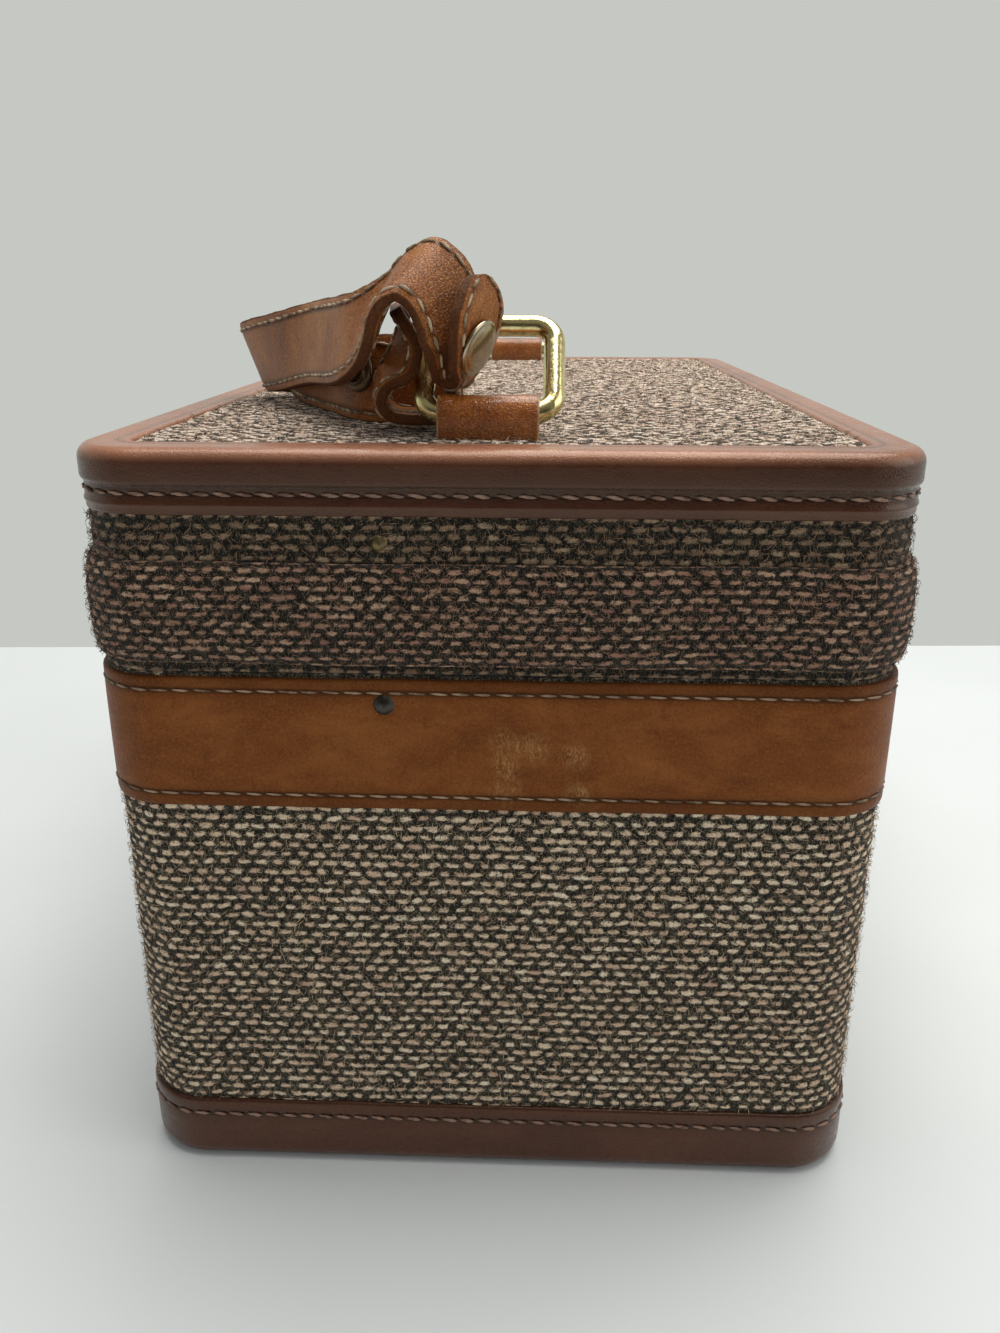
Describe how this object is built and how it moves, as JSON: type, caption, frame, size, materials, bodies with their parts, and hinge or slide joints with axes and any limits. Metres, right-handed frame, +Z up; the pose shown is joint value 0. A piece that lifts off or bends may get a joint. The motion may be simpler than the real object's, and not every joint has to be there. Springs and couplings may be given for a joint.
{
  "type": "cosmetic train case",
  "caption": "Boxy tweed travel case with leather bands, a hinged lid on folding stays, latches, a lift-out tray and a strap handle between brass rings.",
  "frame": {"origin": "middle of the underside, on the surface the case stands on", "axes": "+X along the case's length, away from the end with the strap's ring; the latches face -Y, the hinges +Y; +Z up"},
  "size_m": [0.3777, 0.2343, 0.2732],
  "materials": {
    "plywood": "satin",
    "tweed": "matte",
    "tweed_roll": "matte",
    "tan_leather": "satin",
    "trim_leather": "satin",
    "lining_cloth": "matte",
    "nickel": "satin",
    "mirror": "gloss",
    "dark_rivet": "satin",
    "aged_brass": "satin",
    "cap_brass": "satin",
    "chape_leather": "gloss",
    "handle_leather": "satin"
  },
  "bodies": {
    "case_body": {"body_box": "plywood", "body_cloth": "tweed", "belt_band": "tan_leather", "base_trim": "trim_leather", "base_panel": "trim_leather", "body_lining": "lining_cloth", "body_rim": "nickel", "tray_ledges": "lining_cloth", "hinge_left_body_leaf": "aged_brass", "hinge_right_body_leaf": "aged_brass", "hinge_pins": "nickel", "latch_left_case": "aged_brass", "latch_right_case": "aged_brass", "body_stay_rivets": "dark_rivet"},
    "lid": {"lid_box": "plywood", "lid_cloth": "tweed", "lid_top_cloth": "tweed", "lid_bumper": "tweed_roll", "lid_trim": "trim_leather", "lid_rim": "nickel", "lid_lining": "lining_cloth", "mirror_frame": "lining_cloth", "mirror_glass": "mirror", "hinge_left_lid_leaf": "aged_brass", "hinge_right_lid_leaf": "aged_brass", "hasp_left_plate": "aged_brass", "hasp_right_plate": "aged_brass", "lid_stay_rivets": "aged_brass", "chape_near": "chape_leather", "chape_far": "chape_leather", "chape_plates": "nickel"},
    "hasp_left": {"hasp_left": "aged_brass"},
    "hasp_right": {"hasp_right": "aged_brass"},
    "slider_left": {"slider_left": "aged_brass"},
    "slider_right": {"slider_right": "aged_brass"},
    "key_plug_left": {"key_plug_left": "aged_brass"},
    "key_plug_right": {"key_plug_right": "aged_brass"},
    "handle": {"near_ring": "aged_brass", "handle_strap": "handle_leather", "strap_tongue": "handle_leather", "strap_cap": "cap_brass", "snap_socket": "nickel"},
    "far_ring": {"far_ring": "aged_brass"},
    "stay_left_lower": {"stay_left_lower": "nickel"},
    "stay_left_upper": {"stay_left_upper": "nickel"},
    "stay_right_lower": {"stay_right_lower": "nickel"},
    "stay_right_upper": {"stay_right_upper": "nickel"},
    "tray": {"tray": "lining_cloth", "tray_dividers": "lining_cloth", "tray_pulls": "handle_leather"}
  },
  "joints": [
    {"name": "lid_hinge", "type": "hinge", "parent": "case_body", "child": "lid", "pos_m": [0, 0.1135, 0.16315], "axis": [-1, 0, 0], "range_deg": [0, 95]},
    {"name": "hasp_left_lift", "type": "hinge", "parent": "lid", "child": "hasp_left", "pos_m": [-0.11, -0.1163, 0.178], "axis": [-1, 0, 0], "range_deg": [0, 100]},
    {"name": "slider_left_push", "type": "slide", "parent": "case_body", "child": "slider_left", "axis": [-1, 0, 0], "range_m": [0, 0.005], "stiffness_N_per_m": 150},
    {"name": "key_left_turn", "type": "hinge", "parent": "case_body", "child": "key_plug_left", "pos_m": [-0.121, -0.1125, 0.138], "axis": [0, -1, 0], "range_deg": [0, 90]},
    {"name": "stay_left_lower_turn", "type": "hinge", "parent": "case_body", "child": "stay_left_lower", "pos_m": [-0.1759, 0.0293, 0.1551], "axis": [-1, 0, 0], "range_deg": [0, 129]},
    {"name": "stay_left_upper_turn", "type": "hinge", "parent": "lid", "child": "stay_left_upper", "pos_m": [-0.1744, 0.0293, 0.1987], "axis": [1, 0, 0], "range_deg": [0, 114]},
    {"name": "hasp_right_lift", "type": "hinge", "parent": "lid", "child": "hasp_right", "pos_m": [0.11, -0.1163, 0.178], "axis": [-1, 0, 0], "range_deg": [0, 100]},
    {"name": "slider_right_push", "type": "slide", "parent": "case_body", "child": "slider_right", "axis": [1, 0, 0], "range_m": [0, 0.005], "stiffness_N_per_m": 150},
    {"name": "key_right_turn", "type": "hinge", "parent": "case_body", "child": "key_plug_right", "pos_m": [0.121, -0.1125, 0.138], "axis": [0, -1, 0], "range_deg": [0, 90]},
    {"name": "stay_right_lower_turn", "type": "hinge", "parent": "case_body", "child": "stay_right_lower", "pos_m": [0.1759, 0.0293, 0.1551], "axis": [-1, 0, 0], "range_deg": [0, 129]},
    {"name": "stay_right_upper_turn", "type": "hinge", "parent": "lid", "child": "stay_right_upper", "pos_m": [0.1744, 0.0293, 0.1987], "axis": [1, 0, 0], "range_deg": [0, 114]},
    {"name": "near_ring_tilt", "type": "hinge", "parent": "lid", "child": "handle", "pos_m": [-0.159, 0.0025, 0.2287], "axis": [0, -1, 0], "range_deg": [0, 60]},
    {"name": "far_ring_flip", "type": "hinge", "parent": "lid", "child": "far_ring", "pos_m": [0.159, 0.0025, 0.2287], "axis": [0, -1, 0], "range_deg": [0, 190]},
    {"name": "tray_lift", "type": "slide", "parent": "case_body", "child": "tray", "axis": [0, 0, 1], "range_m": [0, 0.035]}
  ],
  "couplings": [
    {"joint": "stay_left_lower_turn", "follows": "lid_hinge", "ratio": 1.355},
    {"joint": "stay_left_upper_turn", "follows": "lid_hinge", "ratio": 1.199},
    {"joint": "stay_right_lower_turn", "follows": "lid_hinge", "ratio": 1.355},
    {"joint": "stay_right_upper_turn", "follows": "lid_hinge", "ratio": 1.199}
  ]
}
